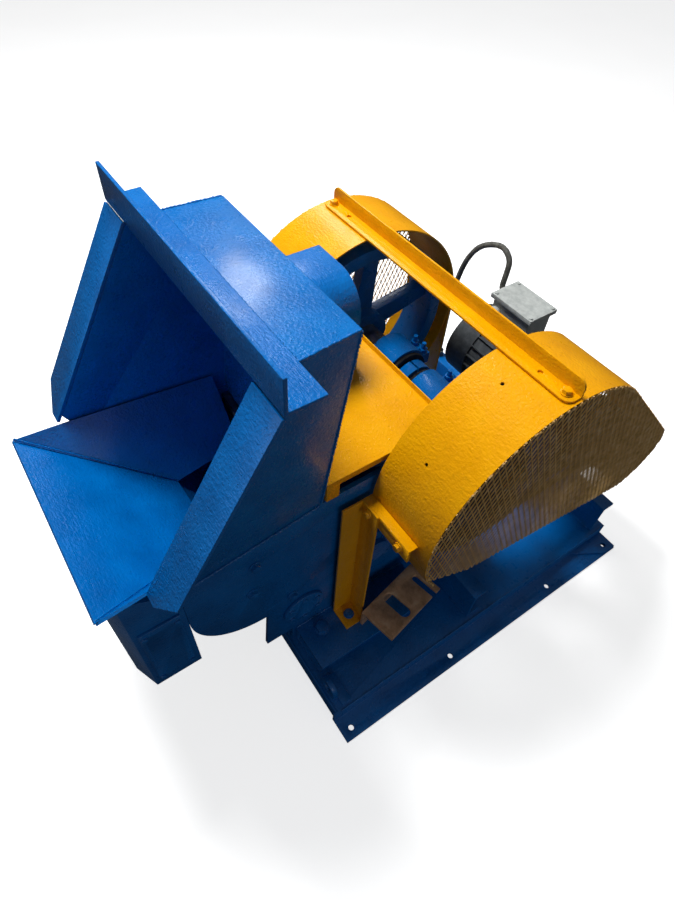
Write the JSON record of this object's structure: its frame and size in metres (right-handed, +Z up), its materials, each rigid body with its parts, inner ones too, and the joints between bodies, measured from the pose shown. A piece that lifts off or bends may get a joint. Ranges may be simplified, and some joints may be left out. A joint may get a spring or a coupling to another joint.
{
  "type": "hammer mill",
  "caption": "Belt-driven hammer mill: feed hopper and tray on a welded body, swing-hammer rotor over a screen, guarded flywheel and sheave, electric motor, on a base frame.",
  "frame": {"origin": "middle of the four corner anchor holes, on the floor under the base", "axes": "+X along the shafts towards the belt guard, -Y towards the feed tray, +Z up"},
  "size_m": [0.87, 1.2857, 1.018],
  "materials": {
    "blue_enamel": "gloss enamel",
    "yellow_enamel": "gloss enamel",
    "guard_mesh": "painted expanded metal",
    "machined_steel": "machined",
    "bare_bracket": "bare hot-rolled steel",
    "motor_casting": "grey enamel",
    "terminal_casting": "satin grey",
    "conduit_jacket": "satin",
    "belt_rubber": "matte"
  },
  "bodies": {
    "frame": {"base_rail_near": "blue_enamel", "base_rail_far": "blue_enamel", "front_cross_member": "blue_enamel", "cross_channel_middle": "blue_enamel", "cross_channel_rear": "blue_enamel", "corner_plates": "blue_enamel", "sill_near": "blue_enamel", "sill_far": "blue_enamel", "front_lifting_lugs": "blue_enamel", "side_plate_near": "blue_enamel", "side_plate_far": "blue_enamel", "body_bolts": "blue_enamel", "inspection_cover": "blue_enamel", "chamber_wrap": "blue_enamel", "breaker_plate": "machined_steel", "screen": "machined_steel", "discharge_spout": "blue_enamel", "hopper_shell": "blue_enamel", "mouth_frame": "blue_enamel", "mouth_top_angle": "blue_enamel", "feed_tray": "blue_enamel", "metal_trap_box": "blue_enamel", "trap_door": "blue_enamel", "dust_vent": "blue_enamel", "cover_sheet": "yellow_enamel", "guard_shell_near": "yellow_enamel", "guard_mesh_near": "guard_mesh", "guard_shell_far": "yellow_enamel", "guard_mesh_far": "guard_mesh", "guard_post_near": "yellow_enamel", "guard_post_far": "yellow_enamel", "guard_brackets": "yellow_enamel", "brace_angle": "yellow_enamel", "guard_bolts": "yellow_enamel", "tension_bracket": "bare_bracket", "bearing_beam": "blue_enamel", "bearing_block_far": "blue_enamel", "bearing_block_near": "blue_enamel", "bearing_studs": "blue_enamel", "bearing_seals": "belt_rubber", "rotor_bearings": "blue_enamel", "motor_stand": "blue_enamel", "motor_body": "motor_casting", "terminal_box": "terminal_casting", "conduit": "conduit_jacket", "v_belts": "belt_rubber"},
    "main_shaft": {"main_shaft": "machined_steel", "drive_sheave": "blue_enamel", "flywheel": "blue_enamel", "shaft_collar": "blue_enamel", "transfer_pulley": "blue_enamel"},
    "rotor": {"rotor_shaft": "machined_steel", "rotor_discs": "machined_steel", "rotor_pulley": "blue_enamel", "hammer_pins": "machined_steel"},
    "hammer_row_1": {"hammers_1": "machined_steel"},
    "hammer_row_2": {"hammers_2": "machined_steel"},
    "hammer_row_3": {"hammers_3": "machined_steel"},
    "hammer_row_4": {"hammers_4": "machined_steel"},
    "motor_rotor": {"motor_rotor": "machined_steel"}
  },
  "joints": [
    {"name": "main_shaft_spin", "type": "hinge", "parent": "frame", "child": "main_shaft", "pos_m": [0, 0, 0.52], "axis": [1, 0, 0], "continuous": true},
    {"name": "rotor_spin", "type": "hinge", "parent": "frame", "child": "rotor", "pos_m": [0, -0.24, 0.3], "axis": [1, 0, 0], "continuous": true},
    {"name": "motor_spin", "type": "hinge", "parent": "frame", "child": "motor_rotor", "pos_m": [0.1, 0.39, 0.35], "axis": [1, 0, 0], "continuous": true},
    {"name": "hammer_row_1_swing", "type": "hinge", "parent": "rotor", "child": "hammer_row_1", "pos_m": [0, -0.18202, 0.35798], "axis": [1, 0, 0], "range_deg": [-75, 75]},
    {"name": "hammer_row_2_swing", "type": "hinge", "parent": "rotor", "child": "hammer_row_2", "pos_m": [0, -0.29798, 0.35798], "axis": [1, 0, 0], "range_deg": [-75, 75]},
    {"name": "hammer_row_3_swing", "type": "hinge", "parent": "rotor", "child": "hammer_row_3", "pos_m": [0, -0.29798, 0.24202], "axis": [1, 0, 0], "range_deg": [-75, 75]},
    {"name": "hammer_row_4_swing", "type": "hinge", "parent": "rotor", "child": "hammer_row_4", "pos_m": [0, -0.18202, 0.24202], "axis": [1, 0, 0], "range_deg": [-75, 75]}
  ],
  "couplings": [
    {"joint": "motor_spin", "follows": "main_shaft_spin", "ratio": 2.4},
    {"joint": "rotor_spin", "follows": "main_shaft_spin", "ratio": 2}
  ]
}
